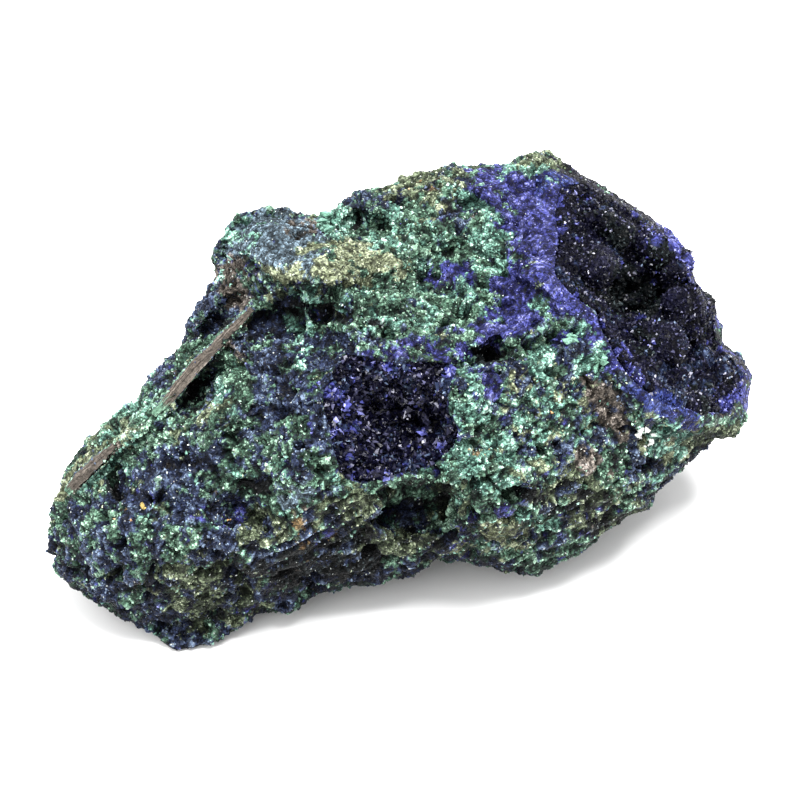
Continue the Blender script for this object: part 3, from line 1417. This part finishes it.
@dataclass
class Clusters:
    """All the clusters, one piece each."""

    body: RockBody
    sunk: float = -0.3
    lean: float = 0.7
    seed: int = 51

    def build(self) -> list[bpy.types.Object]:
        """Makes the clusters.

        Returns:
            The pieces.
        """
        draw = np.random.default_rng(self.seed)
        made = []
        for number, cluster in enumerate(CLUSTERS):
            surface = cluster.spots(self.body, draw)
            widths = draw.uniform(*cluster.widths, cluster.count)
            lengths = draw.uniform(*cluster.lengths, cluster.count)
            growth = Growth(GrainShape.SPEAR, self.sunk, self.lean, number)
            mesh, owner = growth.mesh(cluster.name, surface, widths, lengths)
            shades = draw.uniform(0.75, 1.0, (cluster.count, 1)) * np.array(cluster.colour)
            made.append(new_piece(cluster.name, "rock", mesh, shades[owner], cluster.finish.material()))
        return made


# --- The hollows' linings ---------------------------------------------------------------------

VUG_SHARES = {
    NIGHT: (0.82, 0.6),
    VIOLET: (0.06, 1.0),
    SLATE: (0.10, 1.4),
}
HOLLOW_SHARES = {
    NIGHT: (0.80, 0.6),
    SHADE: (0.10, 1.0),
    SLATE: (0.06, 1.4),
    VIOLET: (0.04, 2.0),
}
VUG_PATCHES = (
    Patch("azurite at the vug's left", VIOLET, (-11.0, -2.0), (2.2, 4.6), 0, 0.25),
    Patch("azurite at the vug's top", VIOLET, (-2.0, 7.0), (8.0, 1.6), 0, 0.5),
    Patch("deepest of the vug", NIGHT, (-1.0, -3.0), (4.6, 3.4), 10, 0.6),
)
HOLLOW_PATCHES = (
    Patch("deepest of the hollow", SHADE, (37.4, 16.8), (5.4, 3.6), -20, 0.97),
    Patch("dusty floor of the hollow", SLATE, (45.0, 3.0), (8.0, 3.6), 10, 0.35),
    Patch("far azurite rim", VIOLET, (44.8, 24.0), (2.4, 4.0), 40, 0.85),
    Patch("near azurite rim", VIOLET, (25.8, 29.6), (0.8, 5.0), -5, 0.5),
    Patch("azurite of the tip", VIOLET, (53.4, 0.0), (3.0, 3.0), 0, 0.6),
    Patch("azurite over the near edge", VIOLET, (29.6, 14.0), (3.0, 1.1), -45, 0.6),
    Patch("azurite over the lower edge", VIOLET, (36.0, 5.6), (3.6, 1.0), -58, 0.6),
    Patch("azurite over the floor's edge", ROYAL, (43.0, -0.6), (3.4, 0.6), -30, 0.6),
)
VUG_KNOBS = (
    Stroke("deep corner", (6.0, -3.6), (8.6, -6.0), 2.8, -2.2),
    Stroke("deep floor", (-4.0, -1.0), (3.0, -4.6), 3.2, -1.4),
    Stroke("left swell", (-8.6, -6.0), (-7.4, -1.0), 2.0, 1.0),
    Stroke("top swell", (-5.0, 4.4), (3.0, 4.8), 1.8, 0.8),
)
HOLLOW_KNOBS = (
    Stroke("near knob", (31.6, 21.2), (31.6, 21.0), 3.8, 1.9),
    Stroke("far wall's swell", (39.6, 25.0), (44.2, 21.6), 3.2, 2.4),
    Stroke("upper wall's swell", (33.0, 28.0), (37.0, 26.4), 2.6, 1.1),
    Stroke("deep pit", (35.6, 17.8), (38.4, 16.6), 3.0, -2.0),
    Stroke("crack", (39.0, 15.8), (47.4, 19.6), 1.2, -2.8),
    Stroke("crack's foot", (33.6, 13.2), (39.0, 15.8), 1.1, -1.6),
    Stroke("middle knob", (45.8, 14.8), (46.8, 14.2), 4.2, 2.8),
    Stroke("lower knob", (40.4, 8.6), (42.6, 8.4), 4.2, 3.2),
    Stroke("gap of the knobs", (44.6, 10.6), (46.4, 8.4), 0.8, -1.4),
    Stroke("far lump", (47.8, 6.6), (48.2, 6.2), 1.9, 2.0),
    Stroke("small lump", (51.2, 5.0), (51.6, 4.6), 1.7, 1.8),
    Stroke("near lump", (44.2, 3.4), (45.0, 3.2), 1.8, 1.8),
    Stroke("floor's ledge", (40.0, 1.6), (48.0, -0.6), 1.2, 0.9),
)


@dataclass
class Lining:
    """One hollow's crust of crystals: its bed, and the crystals that stand on it."""

    node: str
    minerals: MineralMap
    knobs: tuple[Stroke, ...]
    lump_grain: float  # how far apart the bed's low lumps are, in millimetres
    count: int  # of its crystals
    widths: Pair
    lengths: Pair
    seed: int
    voxel: float = 0.38
    smoothing: int = 3
    raised: float = 0.45  # how far the bed lies over the solid, in millimetres
    lump_height: float = 0.5
    bright: float = 0.32  # the share of its crystals that stand out
    clear: float = 0.04  # the share that is clear

    def build(self) -> list[bpy.types.Object]:
        """Makes the crust.

        Returns:
            Its bed and its crystals.
        """
        mesh = fine_copy(self.node, self.voxel, self.smoothing)
        points, normals = places_of(mesh), normals_of(mesh)
        open_side = SHOW.facing(normals, 0.1, 0.35)
        laid = SHOW.laid_out(warped(points, 3.4, 0.8, 5.0))
        height = self.lump_height * swells(points, self.lump_grain, self.seed)
        height = height + sum(knob.lift(laid) for knob in self.knobs)
        dome, chance = domes(warped(points, 2.0, 0.6, 3.0), 1.1, 8.0)
        lift = self.raised + (height + 0.5 * dome) * open_side
        move_points(mesh, points + normals * (lift * MM)[:, None])
        scores = self.minerals.scores(points, np.ones(len(points)))
        draw = np.random.default_rng(self.seed)
        level = 0.24 + 0.5 * dome + 0.3 * (chance - 0.5) + 0.04 * height.clip(-3.0, 2.0)
        colours = self.minerals.colours(self.minerals.chosen(scores, draw, 0.3), level)
        bed = new_piece(f"{self.node}_bed", self.node, mesh, colours, LINING_FINISH.material())
        surface = scatter(mesh, self.count, open_side + 0.02, self.seed)
        return [bed, self.druse(surface, scores, height, draw)]

    def druse(
        self, surface: Surface, scores: np.ndarray, height: np.ndarray, draw: np.random.Generator
    ) -> bpy.types.Object:
        """Makes the crystals.

        Args:
            surface: Where they stand on the bed.
            scores: Each mineral's score at each point of the bed.
            height: How far each point stands out, in millimetres; the crystals on knobs are brighter.
            draw: Where the random picks come from.

        Returns:
            The piece that holds them.
        """
        near = surface.nearest
        chosen = self.minerals.chosen(scores[near], draw, 0.5)
        chosen[draw.random(self.count) < self.clear] = CLEAR.column
        widths = self.widths[0] + (self.widths[1] - self.widths[0]) * draw.random(self.count) ** 2.2
        lengths = draw.uniform(*self.lengths, self.count)
        title = f"{self.node}_druse"
        growth = Growth(GrainShape.SPEAR, sunk=0.1, lean=1.1, seed=self.seed)
        mesh, owner = growth.mesh(title, surface, widths, lengths)
        level = 0.35 + draw.normal(0.0, 0.14, self.count) + 0.07 * height[near].clip(-3.0, 2.0)
        level += 0.6 * (draw.random(self.count) < self.bright) * draw.random(self.count)
        colours = self.minerals.colours(chosen, level)[owner]
        return new_piece(title, self.node, mesh, colours, DRUSE_FINISH.material())


LININGS = (
    Lining(
        "vug_crystals",
        MineralMap(VUG_SHARES, VUG_PATCHES),
        VUG_KNOBS,
        lump_grain=3.0,
        count=5600,
        widths=(0.20, 0.72),
        lengths=(0.8, 1.6),
        seed=31,
    ),
    Lining(
        "hollow_crystals",
        MineralMap(HOLLOW_SHARES, HOLLOW_PATCHES),
        HOLLOW_KNOBS,
        lump_grain=3.4,
        count=11000,
        widths=(0.12, 0.42),
        lengths=(0.7, 1.5),
        seed=32,
    ),
)


# --- The studio -------------------------------------------------------------------------------


@dataclass(frozen=True)
class Lamp:
    """A far, soft light that looks at the specimen."""

    name: str
    at: Triple
    breadth: float  # degrees that it takes up in the sky
    power: float  # watts on a square metre that faces it


@dataclass
class Studio:
    """The pale floor, the lights and the camera."""

    floor_size: float = 3.0
    floor_tone: float = 0.93
    floor_rough: float = 0.9
    sky: float = 1.25
    lens: float = 100.0
    sensor: float = 36.0
    lamps: tuple[Lamp, ...] = (
        Lamp("key", (0.07, -0.10, 0.80), 30.0, 7.6),
        Lamp("fill", (-0.45, -0.10, 0.60), 60.0, 1.6),
    )

    def floor(self) -> bpy.types.Object:
        """Makes the plain pale floor that the specimen rests on.

        Returns:
            The floor.
        """
        half = self.floor_size / 2.0
        mesh = bpy.data.meshes.new("floor")
        corners = [(-half, -half, 0.0), (half, -half, 0.0), (half, half, 0.0), (-half, half, 0.0)]
        mesh.from_pydata(corners, [], [(0, 1, 2, 3)])
        made = bpy.data.materials.new("floor")
        made.use_nodes = True
        shader = made.node_tree.nodes["Principled BSDF"]
        shader.inputs["Base Color"].default_value = (self.floor_tone, self.floor_tone, self.floor_tone, 1.0)
        shader.inputs["Roughness"].default_value = self.floor_rough
        mesh.materials.append(made)
        floor = bpy.data.objects.new("floor", mesh)
        bpy.context.scene.collection.objects.link(floor)
        return floor

    def light(self) -> None:
        """Sets up the lamps and the even light from all round."""
        world = bpy.data.worlds.new("studio")
        world.use_nodes = True
        back = world.node_tree.nodes["Background"]
        back.inputs["Color"].default_value = (1.0, 1.0, 1.0, 1.0)
        back.inputs["Strength"].default_value = self.sky
        bpy.context.scene.world = world
        for lamp in self.lamps:
            data = bpy.data.lights.new(lamp.name, "SUN")
            data.angle = math.radians(lamp.breadth)
            data.energy = lamp.power
            lit = bpy.data.objects.new(lamp.name, data)
            lit.location = lamp.at
            lit.rotation_euler = (-Vector(lamp.at)).to_track_quat("-Z", "Y").to_euler()
            bpy.context.scene.collection.objects.link(lit)

    def camera(self) -> None:
        """Sets up the camera, which looks straight at the show face."""
        data = bpy.data.cameras.new("camera")
        data.lens = self.lens
        data.sensor_width = self.sensor
        data.clip_start = 0.01
        axes = SHOW.axes()
        eye = (np.array(SHOW.origin) + axes[2] * SHOW.eye) * MM
        turned_to = Matrix([axes[:, i].tolist() for i in range(3)]).to_4x4()
        camera = bpy.data.objects.new("camera", data)
        camera.matrix_world = Matrix.Translation(eye.tolist()) @ turned_to
        bpy.context.scene.collection.objects.link(camera)
        bpy.context.scene.camera = camera

    def build(self) -> None:
        """Sets it all up."""
        self.light()
        self.floor()
        self.camera()
        bpy.context.scene.view_settings.view_transform = "Standard"
        bpy.context.scene.view_settings.look = "None"


def main() -> None:
    """Builds the specimen and the studio, and reports each piece."""
    logging.basicConfig(level=logging.INFO, format="%(message)s")
    noise.seed_set(NOISE_SEED)  # its vectors would else follow the clock
    body = RockBody()
    made = [*body.build(), *Grains(body).build(), *Clusters(body).build()]
    made += Blade(body, "blade", BLADE_PATH, brown_ends=0.88, raised=1.6, grains=800).build()
    made += Blade(body, "lower_plate", LOWER_PLATE_PATH, brown_ends=0.9, raised=0.6, grains=380).build()
    for lining in LININGS:
        made += lining.build()
    for piece in made:
        log.info("%s: %d triangles", piece.name, len(triangles_of(piece.data)))
    Studio().build()


if __name__ == "__main__":
    main()
